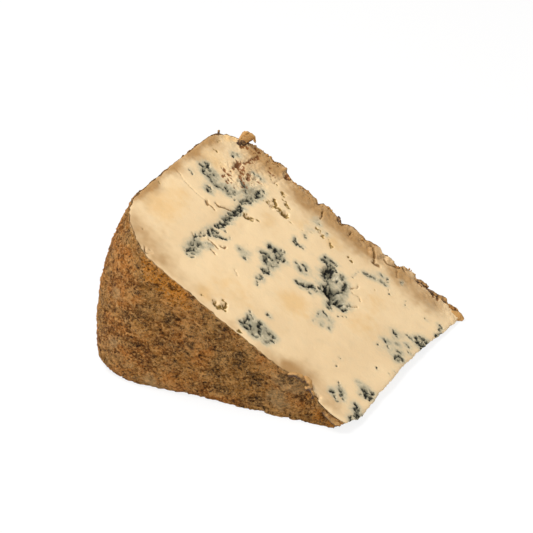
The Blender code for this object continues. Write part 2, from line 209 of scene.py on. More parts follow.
VEILS = (
    (76, 19, 4.0, 0.6), (74, 25, 3.0, 0.4), (36, 48, 6, 0.4), (46, 8, 4, 0.3), (88, 58, 5, 0.3),
    (76, 23, 3.5, 1.1), (76, 45, 3.5, 0.6), (76, 33, 3.5, 0.7), (56, 40, 5, 0.7), (58, 46, 5, 0.6), (64, 36, 3.5, 0.8), (55, 30, 3, 0.6), (56, 76, 3, 0.5),
    (34, 50, 7, 0.6), (38, 56, 6, 0.8), (44, 62, 4, 0.6), (32, 35, 6, 0.6), (47, 49, 5, 0.55), (45, 8, 5, 0.9), (40, 9, 4, 0.8), (92, 59, 6, 0.7),
    (84, 57, 6, 0.65), (91, 77, 3, 0.7), (79, 62, 6, 0.6), (78, 67, 5, 0.6), (80, 74, 5, 0.5), (5, 58, 5, 0.6), (10, 50, 6, 0.5), (9, 44, 6, 0.5),
    (8, 19, 5, 0.55), (13, 9, 4, 0.6), (5, 7, 4, 0.6), (29, 73, 4, 0.7), (43, 43, 4, 0.5), (55, 71, 5, 0.5), (94, 82, 3, 0.6), (10, 79, 5, 0.35), (88, 51, 4, 0.4),
)

# The rind's front, by distance and height: (distance, height, radius, strength)
RIND_ORANGE = (
    (66, 38, 7, 1.3), (61, 34, 5, 1.1), (70, 42, 5, 0.8), (55, 29, 5, 0.4), (42, 3, 6, 0.35), (62, 27, 4, 0.3), (14, 3, 4, 0.8), (8, 2, 4, 1.1),
    (30, 9, 3, 0.3), (24, 6, 3.5, 0.5), (48, 10, 5, 0.3),
)
RIND_DARK = (
    (18.6, 6.6, 1.5, 1.5), (13, 2.6, 1.5, 1.4), (22.5, 7.6, 1.2, 0.9),
    (63, 25, 3, 0.6), (57, 18, 2.5, 0.6), (40, 17, 3, 0.7), (24, 13, 3, 0.6), (33, 3, 4, 0.5), (80, 22, 5, 0.6), (74, 10, 6, 0.5), (17, 2, 1.6, 1.2),
    (40, 16, 4, 0.9), (34, 14, 4, 0.5), (25, 13, 3.5, 1.0), (63, 26, 3.5, 0.8), (57, 19, 3, 0.7), (66, 21, 4, 0.6), (33, 4, 4, 0.8),
    (20, 8, 2, 1.1), (44, 5, 3, 0.5), (53, 16, 3, 0.5), (78, 22.5, 4, 0.6), (72, 22, 4, 0.4), (75, 10.5, 5, 0.5), (60, 10.5, 5, 0.4), (66, 11, 4, 0.4),
    (74, 39, 3, 0.5), (70, 36, 2.5, 0.5), (52, 33.5, 2, 0.7), (43, 27, 5, 0.35), (36, 21, 4, 0.3), (12, 2, 1.6, 1.2), (56, 6, 4, 0.4), (80, 16, 4, 0.3),
)
RIND_PALE = (
    (25, 12, 3.2, 1.5), (21, 10.2, 2.4, 1.4), (28, 13, 2.4, 0.9), (27, 5, 2.6, 0.8), (15.5, 5, 1.6, 0.7),
    (83, 28, 4, 1.1), (84, 12, 3.5, 1.0), (70, 2, 5, 1.2), (80, 6, 4, 0.45), (28, 6, 4, 1.3), (24, 4, 3, 0.6), (86, 20, 4, 0.4), (82, 36, 4, 0.4),
    (82, 44, 4, 0.35), (23, 11.5, 3, 0.7), (19, 10, 2, 0.6),
)
RIND_SCRATCHES = (
    (1.0, 0.28, ((58, 28), (52, 24.2))), (0.9, 0.25, ((57, 27.2), (53.5, 25.2))), (0.7, 0.25, ((60, 30.4), (57, 28.6))),
    (0.7, 0.25, ((66, 30.5), (62, 30.3))), (0.5, 0.3, ((74, 33.6), (64, 31))), (0.5, 0.3, ((80, 9), (70, 8.5))),
    (0.6, 0.3, ((83, 24.5), (74, 23.7))), (0.5, 0.3, ((78, 18.6), (68, 18.9))), (0.5, 0.3, ((60, 13), (48, 12.4))),
)

# Loose-edged scraps: (name, thickness, side vector, ((distance, depth, height, half width), ...), tint from 0 golden to
# 1 dark, which is painted light and shade: golden for a lit piece, dark for a shaded one)
SCRAPS = (
    ("scrap_corner", 0.8, (1.0, 0.2, 0.1), ((93, 85.6, -0.6, 1.6), (93.2, 86.6, 1.0, 1.8), (93, 87.2, 2.4, 2.1),
                                            (92, 87.8, 3.6, 1.7), (90.8, 87.9, 3.2, 1.5), (89.8, 87.7, 2.2, 0.6)), 0.2),
    ("scrap_corner_fold", 0.7, (0.7, 0.5, 0.3), ((94, 85.8, -0.6, 1.0), (94.3, 86.6, 1.0, 1.1), (94.1, 87.2, 2.6, 0.9), (93.4, 87.4, 3.8, 0.4)), 0.0),
    ("scrap_corner_root", 0.6, (1.0, 0.3, 0.3), ((93.6, 83.4, -0.5, 0.9), (93.2, 85, 0.1, 1.3), (92.4, 86.6, 0.7, 1.3), (91.6, 87.8, 0.3, 0.6)), 0.85),
    ("scrap_spur", 0.6, (0.3, 1.0, 0.2), ((100, 80, -0.6, 1.2), (100.7, 81, 0.0, 1.0), (101.3, 82, 0.3, 0.3)), 0.4),
    ("scrap_back_c", 0.55, (0.25, 1.0, 0.0), ((19.4, 86.6, -0.2, 0.5), (17.5, 87.2, 0.4, 1.0), (15.5, 87.7, 0.4, 1.0), (14.2, 87.7, 0.0, 0.5)), 0.6),
    ("scrap_back_d", 0.55, (0.2, 1.0, 0.0), ((14.4, 86.4, -0.3, 0.5), (12.8, 86.6, 0.4, 1.1), (11.2, 86.8, 0.4, 1.1), (10, 86.8, 0.0, 0.6)), 0.7),
    ("scrap_back_e", 0.5, (0.3, 1.0, 0.2), ((10, 87, -0.3, 0.6), (9, 87.6, 0.4, 1.1), (7.2, 87.8, 0.5, 1.1), (6, 87.4, 0.0, 0.5)), 0.55),
    ("scrap_back_f", 0.5, (1.0, 0.2, 0.1), ((50.6, 83.8, -0.4, 0.6), (50.6, 85.2, 0.3, 1.0), (51.6, 86.4, 0.5, 0.9)), 0.8),
    ("crumb_thin_end", 1.6, (0.4, 1.0, 0.0), ((3.2, 85.2, -0.9, 1.3), (1.6, 85.8, -0.2, 2.0), (0.2, 86.2, 0.0, 1.9), (-1.2, 86.2, -0.4, 1.1)), -0.6),
    ("scrap_fold_a", 1.2, (0.25, 1.0, -0.5), ((28, 0.9, -0.7, 0.9), (26.4, 1.8, 0.6, 1.5), (24.6, 2.3, 0.9, 1.7), (23, 2.6, 0.1, 1.0)), 0.35),
    ("scrap_fold_b", 1.3, (0.1, 1.0, -0.35), ((24.4, 3.0, -0.5, 0.9), (23, 3.2, 0.9, 1.5), (21.4, 2.8, 0.9, 1.5), (20.2, 2.2, -0.2, 0.9)), 0.05),
    ("scrap_fold_c", 1.0, (0.4, 1.0, -0.3), ((21.6, 1.0, -0.6, 0.7), (20.4, 1.1, 0.5, 1.3), (18.6, 0.4, 0.4, 1.3), (17.6, -0.3, -0.6, 0.7)), 0.45),
    ("scrap_tip", 1.0, (0.2, 0.6, 0.8), ((13, -0.7, -1.6, 0.8), (11, -1.2, -1.4, 1.2), (8.5, -1.3, -1.2, 1.3), (6.4, -0.9, -1.2, 0.8)), 0.15),
)
# Crumbs on the broken edge along the back: (from distance, to distance, how many, radius)
RIM_CRUMBS = ((76, 92, 30, 0.38), (61, 73, 14, 0.3), (40, 59, 18, 0.3), (20, 31, 12, 0.32), (2, 12, 10, 0.3))


def display(red, green, blue):
    """A colour as it looks on a display, from 0 to 255, as the linear colour that Blender works in."""
    shares = (red / 255.0, green / 255.0, blue / 255.0)
    return tuple(c / 12.92 if c <= 0.04045 else ((c + 0.055) / 1.055) ** 2.4 for c in shares)


def length(name, description, millimetres):
    """A length property."""
    return FloatProperty(name=name, description=description, default=millimetres * MM, min=0.0, unit="LENGTH", subtype="DISTANCE")


def colour(name, description, red, green, blue):
    """A colour property."""
    return FloatVectorProperty(
        name=name, description=description, default=display(red, green, blue), size=3, min=0.0, max=1.0, subtype="COLOR"
    )


class WedgeSizes(bpy.types.PropertyGroup):
    """The sizes of the wheel that the wedge was cut from, and of its surfaces' detail."""

    wheel_radius: length("Wheel radius", "From the wheel's axis to its side", 100.0)
    wheel_thickness: length("Wheel thickness", "From the wheel's flat front to its back", 89.0)
    front_rounding: length("Front rounding", "Radius of the edge between the front and the side", 24.5)
    back_rounding: length("Back rounding", "Radius of the edge between the back and the side", 14.0)
    back_radius_gain: length("Flare", "How much the wheel widens towards its back", 2.0)
    side_bulge: length("Side bulge", "How far the side swells between front and back", 0.6)
    lower_radius_loss: length("Flat side", "How much flatter the wheel is at the lower cut", 1.8)
    wedge_angle: FloatProperty(
        name="Wedge angle", description="The angle between the two cuts", default=math.radians(31.7), subtype="ANGLE"
    )
    rind_thickness: length("Rind thickness", "How deep the rind goes at the wheel's side", 2.4)
    rind_bumps: length("Rind bumps", "How far the rind's bumps stand out", 0.5)
    mould_depth: length("Mould depth", "How deep the mould's hollows are", 0.6)


class CheeseColours(bpy.types.PropertyGroup):
    """The colours of the paste, the mould and the rind."""

    paste: colour("Paste", "The paste at the middle of the cut", 238, 208, 162)
    paste_warm: colour("Warm paste", "Yellower patches of the paste", 230, 190, 132)
    paste_tan: colour("Tan paste", "The paste next to the rind", 174, 132, 80)
    veil: colour("Veil", "The greyish paste around the mould", 192, 180, 150)
    mould_blue: colour("Blue mould", "The mould's thin edges", 112, 108, 88)
    mould_dark: colour("Dark mould", "The mould's thick middle", 22, 22, 14)
    olive: colour("Olive", "Moist hollows", 148, 116, 54)
    olive_deep: colour("Deep olive", "The darkest of the moist hollows", 88, 66, 24)
    stain: colour("Stain", "Reddish-brown streaks", 122, 68, 16)
    # The crack colour paints the cracks brown, partly their own colour and partly painted shade in their gaps.
    crack: colour("Crack", "Fine cracks in the paste", 118, 80, 26)
    rind: colour("Rind", "The rind's own colour", 196, 124, 52)
    # The dark rind colour also paints shade in the grain's pits, and the pale one paints highlights on the raised
    # grain.
    rind_dark_and_shade: colour("Dark rind", "Hollows and dark spots of the rind", 44, 25, 8)
    rind_pale_and_highlight: colour("Pale rind", "Dry and powdery places on the rind", 232, 176, 106)
    rind_powder: colour("Powdery rind", "Whitish mould on the rind", 196, 160, 110)
    rind_orange: colour("Orange rind", "Orange patches on the rind", 224, 142, 44)
    rind_olive: colour("Olive rind", "Olive patches on the rind", 174, 122, 56)
    scrap: colour("Scrap", "Golden-brown scraps of rind", 190, 142, 78)
    # Paints shade on the scraps, on shaded pieces and their lower parts, and darkens some crumbs.
    scrap_dark_and_shade: colour("Dark scrap", "The scraps' dark folds", 70, 42, 16)
    floor: colour("Floor", "The floor and the backdrop", 244, 242, 240)


def smooth(low, high, value):
    """0 below low, 1 above high, and a smooth rise between them."""
    share = np.clip((np.asarray(value, float) - low) / (high - low), 0.0, 1.0)
    return share * share * (3.0 - 2.0 * share)


def wander(points, size, seed, octaves=3):
    """Noise of about -1 to 1 at each point, whose bumps are as wide as size."""
    flat = np.asarray(points, float).reshape(-1, 3) / size + seed
    values = [noise.fractal(Vector(p), 0.9, 2.1, octaves) for p in flat]
    return np.array(values).reshape(np.asarray(points).shape[:-1])


def blobs(patches, first, second):
    """How strongly soft round patches cover each place."""
    cover = np.zeros(np.shape(first))
    for at_first, at_second, radius, strength in patches:
        away = ((first - at_first) ** 2 + (second - at_second) ** 2) / radius**2
        cover += strength * np.exp(-1.6 * away)
    return cover


def away_from(points, first, second):
    """The distance of each place from a line through points."""
    nearest = np.full(np.shape(first), 1.0e9)
    for (a, b), (c, d) in zip(points, points[1:]):
        along = np.clip(((first - a) * (c - a) + (second - b) * (d - b)) / ((c - a) ** 2 + (d - b) ** 2), 0.0, 1.0)
        nearest = np.minimum(nearest, np.hypot(first - a - along * (c - a), second - b - along * (d - b)))
    return nearest


def strokes(lines, first, second, inner=0.35, outer=1.7, grow=0.0):
    """How strongly strokes cover each place: fully near their lines, and not at all past their widths."""
    cover = np.zeros(np.shape(first))
    for strength, width, points in lines:
        nearest = away_from(points, first, second)
        cover = np.maximum(cover, strength * (1.0 - smooth(inner * width, outer * width + grow, nearest)))
    return cover


class Wheel:
    """The wheel's form in millimetres, as the CAD source has it."""

    def __init__(self, sizes):
        self.radius = sizes.wheel_radius / MM
        self.thickness = sizes.wheel_thickness / MM
        self.front_rounding = sizes.front_rounding / MM
        self.back_rounding = sizes.back_rounding / MM
        self.gain = sizes.back_radius_gain / MM
        self.bulge = sizes.side_bulge / MM
        self.flatter = sizes.lower_radius_loss / MM
        self.angle = sizes.wedge_angle
        self.lift = 1.2

    def side_radius(self, through, up):
        bulge = self.bulge * 4.0 * through * (1.0 - through)
        return self.radius + self.gain * through + bulge - self.flatter * (1.0 - up) ** 2

    def thin_end(self, depth, up):
        """How far from the axis the broken thin end is."""
        tip = 3.5 * (1.0 - smooth(0.45, 1.0, depth / self.thickness))
        corner = 2.0 * (1.0 - smooth(0.0, 6.0, depth))
        places = np.stack([np.zeros_like(depth), depth, 8.0 * up + 3.0], axis=-1)
        ragged = 0.5 * wander(places, 6.0, 2.0) + 0.25 * wander(places, 1.4, 7.0)
        return tip + corner + ragged + 3.0 * (1.0 - up)

    def outline(self, along, through, up, inset):
        """Distance and depth for shares of the way to the side and to the back. Inset is how far in from the rind."""
        radius = self.side_radius(through, up) - inset
        tip = self.thin_end(through * self.thickness, up)
        distance = tip + (radius - tip) * along
        depth = inset + (self.thickness - 2.0 * inset) * through
        front = depth < self.front_rounding
        size = np.where(front, self.front_rounding, self.back_rounding) - inset
        edge = np.where(front, inset, self.thickness - inset)
        out = np.clip((distance - (radius - size)) / size, 0.0, 1.0)
        beside = np.clip((size - np.abs(depth - edge)) / size, 0.0, 1.0)
        round_out = out * np.sqrt(1.0 - beside**2 / 2.0)
        round_beside = beside * np.sqrt(1.0 - out**2 / 2.0)
        curved = (out > 0.0) & (beside > 0.0)
        distance = np.where(curved, radius - size + size * round_out, distance)
        rounded = np.where(front, edge + size * (1.0 - round_beside), edge - size * (1.0 - round_beside))
        return distance, np.where(curved, rounded, depth)

    def ragged(self, distance, depth, up):
        """The depth after the cut's broken edges have moved it."""
        near_cut = smooth(0.0, 1.0, 1.0 - (1.0 - up) * distance * self.angle / 4.0)
        back = np.interp(distance, *zip(*BACK_RIM)) - self.thickness
        front = np.interp(distance, *zip(*FRONT_RIM))
        back_share = smooth(self.thickness - 8.0, self.thickness, depth)
        front_share = 1.0 - smooth(0.0, 7.0, depth)
        return depth + near_cut * (back * back_share + front * front_share)

    def point(self, distance, depth, up, relief=0.0):
        """The place in the frame, in metres. Relief is the height above the cut's plane."""
        angle = self.angle * up
        x = -distance * np.cos(angle) + relief * np.sin(angle) + AXIS_X
        z = distance * np.sin(angle) + self.lift * depth / self.thickness * up + relief * np.cos(angle)
        return np.stack([x, depth + FRONT_Y, np.maximum(z, 0.0)], axis=-1) * MM


def stitch(fine, coarse):
    """Triangles between two lines of points, the fine one having a whole number of steps to each coarse one."""
    step = (len(fine) - 1) // (len(coarse) - 1)
    half = step // 2
    faces = []
    for i in range(len(coarse) - 1):
        part = fine[i * step : (i + 1) * step + 1]
        faces += [(coarse[i], part[j + 1], part[j]) for j in range(half)]
        faces.append((coarse[i], coarse[i + 1], part[half]))
        faces += [(coarse[i + 1], part[j + 1], part[j]) for j in range(half, step)]
    return faces


def grid_faces(numbers, flip=False):
    """The quads of a grid of point numbers."""
    a, b, c, d = numbers[:-1, :-1], numbers[1:, :-1], numbers[1:, 1:], numbers[:-1, 1:]
    quads = np.stack([a, d, c, b] if flip else [a, b, c, d], axis=-1).reshape(-1, 4)
    return quads.tolist()


def make_object(name, points, faces, layers, material):
    """A mesh object in the frame, riding on the wedge. Layers hold one value for each point."""
    mesh = bpy.data.meshes.new(name)
    mesh.from_pydata(np.asarray(points).tolist(), [], faces)
    for layer, values in layers.items():
        attribute = mesh.attributes.new(layer, "FLOAT", "POINT")
        attribute.data.foreach_set("value", np.asarray(values, np.float32))
    mesh.validate()
    mesh.shade_smooth()
    mesh.materials.append(material)
    piece = bpy.data.objects.new(name, mesh)
    bpy.context.scene.collection.objects.link(piece)
    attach(piece, "root")
    return piece


def paste_layers(distance, depth, under):
    """What the paste's surface shows at each place: the tints, and how deep its hollows go."""
    flat = np.stack([distance, depth, 40.0 * under], axis=-1)
    grain = wander(flat, 1.15, 11.0, 3)
    patchy = wander(flat, 3.4, 19.0, 3)
    shift_a = wander(flat, 2.6, 23.0, 2)
    shift_b = wander(flat, 2.6, 37.0, 2)
    # The underside has the same kind of marks in other places.
    first = np.where(under > 0.5, 0.93 * distance + 3.0, distance) + 0.35 * shift_a
    second = np.where(under > 0.5, 86.0 - depth, depth) + 0.35 * shift_b
    mould_lines = CHANNEL_MOULD + MIDDLE_MOULD + FRONT_MOULD + THIN_END_MOULD
    density = strokes(mould_lines, first, second)
    mould = smooth(0.42, 0.95, density + 1.25 * grain * smooth(0.05, 0.4, density))
    mould += 0.5 * smooth(0.95, 1.3, density + 0.25 * grain)
    halo = strokes(mould_lines, first, second, 0.2, 2.4, 1.6)
    veil = np.clip(0.95 * blobs(VEILS, first, second) + 0.7 * halo + 0.45 * density, 0.0, 1.7) * (0.85 + 0.5 * patchy)
    hollows = strokes(OLIVE_HOLLOWS, first, second, 0.1, 2.0)
    olive = smooth(0.35, 1.15, hollows + 0.9 * grain * smooth(0.05, 0.4, hollows))
    crumbly = np.clip(blobs(((84, 70, 9, 1.0), (80, 64, 6, 0.5), (86, 81, 6, 0.45), (79, 74, 5, 0.3)), first, second), 0.0, 1.0)
    streaks = wander(flat * np.array([0.5, 1.0, 1.0]), 0.85, 43.0, 3)
    stain = smooth(0.3, 0.9, strokes(STAINS, first, second) + 0.9 * grain * smooth(0.05, 0.4, strokes(STAINS, first, second)))
    stain = np.maximum(stain, 0.85 * smooth(1.0, 1.6, crumbly + 1.2 * streaks))
    crack = strokes(CRACKS, distance + 0.35 * shift_a, depth + 0.35 * shift_b, 0.3, 1.7) * (1.0 - under)
    crack = np.clip(crack * (1.0 + 0.9 * grain), 0.0, 1.0)
    warm = np.clip(blobs(WARM_PATCHES, first, second) + 0.25 * shift_a, 0.0, 1.2)
    tan = blobs(TAN_PATCHES, first, second) + 0.7 * smooth(97.6, 101.2, distance + 0.5 * grain) * smooth(10.0, 20.0, depth)
    tan = np.clip(tan + 0.15 * shift_b, 0.0, 1.4)
    return {
        "mould": mould, "veil": veil, "olive": olive, "stain": stain, "crack": crack,
        "warm": warm, "tan": tan, "crumbly": crumbly,
    }


def cut_relief(sizes, distance, depth, layers):
    """How far the upper cut stands above its plane."""
    flat = np.stack([distance, depth, np.zeros_like(distance)], axis=-1)
    height = 0.35 * wander(flat, 22.0, 0.0, 2) + 0.10 * wander(flat, 6.0, 3.0, 2)
    warp_a = wander(flat, 2.2, 51.0, 3)
    warp_b = wander(flat, 2.2, 67.0, 3)
    fine = wander(flat, 1.0, 83.0, 3)
    for at_distance, at_depth, radius, deep in POCKETS:
        away = np.hypot(distance + 0.8 * warp_a - at_distance, depth + 0.8 * warp_b - at_depth) / radius
        height -= deep * (1.0 - smooth(0.35, 1.05, away)) * (0.85 + 0.25 * fine)
    mould_depth = sizes.mould_depth / MM
    height -= mould_depth * layers["mould"] * (0.8 + 0.6 * fine)
    height -= 0.45 * layers["olive"] * (0.8 + 0.5 * fine)
    height -= 0.35 * layers["stain"] * (0.8 + 0.6 * fine)
    height -= 0.6 * layers["crack"]
    channel = strokes(((1.0, 2.2, ((76.5, 18), (76, 62))),), distance, depth, 0.1, 1.6)
    height -= 0.35 * channel * (0.7 + 0.5 * warp_a)
    ridges = 1.0 - 2.0 * np.abs(wander(flat, 2.4, 97.0, 3))
    height += layers["crumbly"] * (0.4 * ridges + 0.35 * fine - 0.35)
    flakes = blobs(((35, 84, 3.4, 1.0), (34.6, 87, 2.4, 0.8), (29.5, 86.4, 2.2, 1.0)), distance + 0.5 * warp_a, depth + 0.5 * warp_b)
    height += 0.7 * smooth(0.35, 0.6, flakes)
    back_rim = smooth(76.0, 89.0, depth)
    height += back_rim * (0.45 * warp_b + 0.22 * fine)
    side_rim = smooth(96.0, 101.0, distance)
    height += side_rim * (0.2 * warp_b + 0.08 * fine)
    return height


def ring_numbers(grid):
    """The numbers of a grid's outline, in order round it, the first one again at the end."""
    round_it = np.concatenate([grid[:-1, 0], grid[-1, :-1], grid[:0:-1, -1], grid[0, :0:-1]])
    return np.append(round_it, round_it[0])


def build_paste(sizes, material):
    """The paste: one closed mesh, fine on the upper cut and coarser underneath."""
    wheel = Wheel(sizes)
    along, through = np.meshgrid(np.linspace(0, 1, CELLS_ALONG + 1), np.linspace(0, 1, CELLS_THROUGH + 1), indexing="ij")
    top_inset, bottom_inset = 0.35, 2.0
    top_up = np.ones_like(along)
    distance, depth = wheel.outline(along, through, top_up, top_inset)
    depth = wheel.ragged(distance, depth, top_up)
    layers = paste_layers(distance, depth, np.zeros_like(distance))
    relief = cut_relief(sizes, distance, depth, layers)
    to_edge = np.minimum(np.minimum(1.0 - along, along) * wheel.radius, np.minimum(through, 1.0 - through) * wheel.thickness)
    relief -= 0.3 * np.exp(-to_edge / 0.45)
    points = [wheel.point(distance, depth, top_up, relief).reshape(-1, 3)]
    values = {name: [v.reshape(-1)] for name, v in layers.items()}
    numbers = np.arange(along.size).reshape(along.shape)
    faces = grid_faces(numbers, flip=True)
    ring = ring_numbers(numbers)
    ring_along, ring_through = along.reshape(-1)[ring[:-1]], through.reshape(-1)[ring[:-1]]
    edge_relief = relief.reshape(-1)[ring[:-1]]
    count = along.size
    above = ring
    for level in PASTE_LEVELS:
        up = np.full(ring_along.shape, level)
        inset = top_inset + (bottom_inset - top_inset) * smooth(1.0, 0.94, up) if level > 0.8 else np.full_like(up, bottom_inset)
        d, y = outline_at(wheel, ring_along, ring_through, up, inset)
        share = 1.0 - smooth(0.0, 2.5, (1.0 - up) * d * wheel.angle)
        points.append(wheel.point(d, y, up, edge_relief * share))
        side = paste_layers(d, y, np.full_like(d, 0.1 * (1.0 - level)))
        for name in values:
            values[name].append(side[name])
        here = np.append(np.arange(count, count + len(ring_along)), count)
        faces += np.stack([above[:-1], here[:-1], here[1:], above[1:]], axis=-1)[:, ::-1].tolist()
        above = here
        count += len(ring_along)
    # The underside
    under_along, under_through = along[::UNDERSIDE_STEP, ::UNDERSIDE_STEP], through[::UNDERSIDE_STEP, ::UNDERSIDE_STEP]
    up = np.zeros_like(under_along)
    d, y = wheel.outline(under_along, under_through, up, bottom_inset)
    points.append(wheel.point(d, y, up).reshape(-1, 3))
    side = paste_layers(d, y, np.ones_like(d))
    for name in values:
        values[name].append(side[name].reshape(-1))
    under = count + np.arange(under_along.size).reshape(under_along.shape)
    faces += grid_faces(under)
    faces += stitch(above.tolist(), ring_numbers(under).tolist())
    joined = {name: np.concatenate(v) for name, v in values.items()}
    return make_object("cheese_paste", np.concatenate(points), faces, joined, material)


def outline_at(wheel, along, through, up, inset):
    """The outline at a level between the cuts, with the broken edges near the upper one."""
    distance, depth = wheel.outline(along, through, up, inset)
    return distance, wheel.ragged(distance, depth, up)


def rind_path():
    """Shares along and through for each column of the rind, from the thin end's front round to its back."""
    front = np.linspace(0.0, 1.0, RIND_FRONT_COLUMNS, endpoint=False)
    side = np.linspace(0.0, 1.0, RIND_SIDE_COLUMNS, endpoint=False)
    back = np.linspace(1.0, 0.0, RIND_BACK_COLUMNS + 1)
    along = np.concatenate([front, np.ones_like(side), back])
    through = np.concatenate([np.zeros_like(front), side, np.ones_like(back)])
    return along, through


def rind_layers(points, distance, depth, height):
    """What the rind shows at each place, by its distance and height on the front."""
    grain = wander(points, 2.2, 5.0, 3)
    on_front = 1.0 - smooth(6.0, 20.0, depth)
    elsewhere = 1.0 - on_front
    wide = wander(points, 11.0, 17.0, 2)
    wide_b = wander(points, 9.0, 29.0, 2)
    first, second = distance + 1.2 * grain, height + 0.8 * wide
    orange = on_front * blobs(RIND_ORANGE, first, second) + elsewhere * 0.6 * smooth(0.25, 0.7, wide)
    dark = on_front * blobs(RIND_DARK, first, second) + elsewhere * 0.9 * smooth(0.15, 0.6, wide_b)
    pale = on_front * blobs(RIND_PALE, first, second) + elsewhere * 0.9 * smooth(0.3, 0.7, -wide_b)
    scratch = on_front * strokes(RIND_SCRATCHES, distance + 0.3 * grain, height + 0.2 * wide)
    return {
        "orange": np.clip(orange + 0.2 * grain, 0, 1.2), "dark": np.clip(dark + 0.35 * grain, 0, 1.2),
        "pale": np.clip(pale + 0.15 * grain, 0, 1.2), "scratch": scratch,
    }


def build_rind(sizes, material):
    """The rind: a closed shell round the front, the side and the back, bumpy outside."""
    wheel = Wheel(sizes)
    path_along, path_through = rind_path()
    rows = np.linspace(0.0, 1.0, RIND_ROWS + 1)
    along, up = np.meshgrid(path_along, rows, indexing="ij")
    through = np.meshgrid(path_through, rows, indexing="ij")[0]
    distance, depth = wheel.outline(along, through, up, 0.0)
    inner_distance, inner_depth = wheel.outline(along, through, up, 1.0)
    out_distance, out_depth = distance - inner_distance, depth - inner_depth
    from_cut = (1.0 - up) * distance * wheel.angle
    from_floor = up * distance * wheel.angle
    places = wheel.point(distance, depth, up) / MM
    stretched = places * np.array([1.0, 1.0, 1.6])
    bumps = sizes.rind_bumps / MM
    broad = wander(places, 14.0, 41.0, 2)
    middle = wander(stretched, 4.0, 43.0, 3)
    fine = wander(stretched, 1.3, 47.0, 3)
    pits = smooth(0.28, 0.6, wander(stretched, 2.4, 61.0, 2))
    crags = np.abs(wander(stretched, 2.0, 53.0, 3))
    bump = 0.9 * bumps * broad + 0.6 * bumps * middle + 0.7 * bumps * fine - 1.3 * bumps * pits - 0.8 * bumps * crags
    layers = rind_layers(places, AXIS_X - places[..., 0], depth, places[..., 2])
    # The front's thin end is folded and lumpy.
    folded = smooth(31.0, 25.0, distance) * smooth(6.0, 12.0, distance) * (1.0 - smooth(4.0, 12.0, depth))
    lumps = wander(places, 3.0, 89.0, 2)
    bump += folded * (0.9 * lumps - 0.9 * np.clip(layers["dark"], 0.0, 1.0) + 0.3)
    bump += 0.2 * layers["scratch"] - 0.25 * layers["dark"]
    shallow = smooth(0.0, 12.0, distance) * 0.7 + 0.3
    bump = bump * np.maximum(shallow, folded) - 1.3 * (1.0 - smooth(0.0, 3.2, from_floor)) ** 2 * smooth(20.0, 60.0, distance)
    bump -= 0.2 * (1.0 - smooth(0.0, 1.0, from_cut))
    bump = np.maximum(bump, -0.25 - 0.35 * from_cut)
    layers["pale"] = layers["pale"] + 0.9 * (1.0 - smooth(0.1, 0.9, from_cut))
    distance = distance + bump * out_distance
    depth = wheel.ragged(distance, depth + bump * out_depth, up)
    chips = -0.1 + 0.5 * wander(places, 2.5, 71.0, 2)
    relief = chips * (1.0 - smooth(0.0, 1.4, from_cut))
    outer = wheel.point(distance, depth, up, relief)
    numbers = np.arange(along.size).reshape(along.shape)
    # The inner side, inside the paste
    thick = sizes.rind_thickness / MM
    inner_along, inner_through = along[:, ::RIND_INNER_STEP], through[:, ::RIND_INNER_STEP]
    inner_up = up[:, ::RIND_INNER_STEP]
    d, y = outline_at(wheel, inner_along, inner_through, inner_up, thick)
    low = 1.0 - smooth(0.0, 1.5, (1.0 - inner_up) * d * wheel.angle)
    raised = 0.6 * (1.0 - smooth(0.0, 1.5, inner_up * d * wheel.angle)) * smooth(4.0, 12.0, d)
    inner = wheel.point(d, y, inner_up, raised - 1.1 * low * smooth(0.0, 12.0, d))
    inner_numbers = along.size + np.arange(inner_along.size).reshape(inner_along.shape)
    faces = grid_faces(numbers) + grid_faces(inner_numbers, flip=True)
    for outside, inside, turned in (
        (numbers[:, -1], inner_numbers[:, -1], False),
        (numbers[:, 0], inner_numbers[:, 0], True),
    ):
        rim = np.stack([outside[:-1], outside[1:], inside[1:], inside[:-1]], axis=-1)
        faces += (rim if turned else rim[:, ::-1]).tolist()
    faces += stitch(numbers[0].tolist(), inner_numbers[0].tolist())
    faces += [face[::-1] for face in stitch(numbers[-1].tolist(), inner_numbers[-1].tolist())]
    inner_layers = rind_layers(inner / MM, AXIS_X - inner[..., 0] / MM, y, inner[..., 2] / MM)
    joined = {name: np.concatenate([layers[name].reshape(-1), inner_layers[name].reshape(-1)]) for name in layers}
    points = np.concatenate([outer.reshape(-1, 3), inner.reshape(-1, 3)])
    return make_object("cheese_rind", points, faces, joined, material)


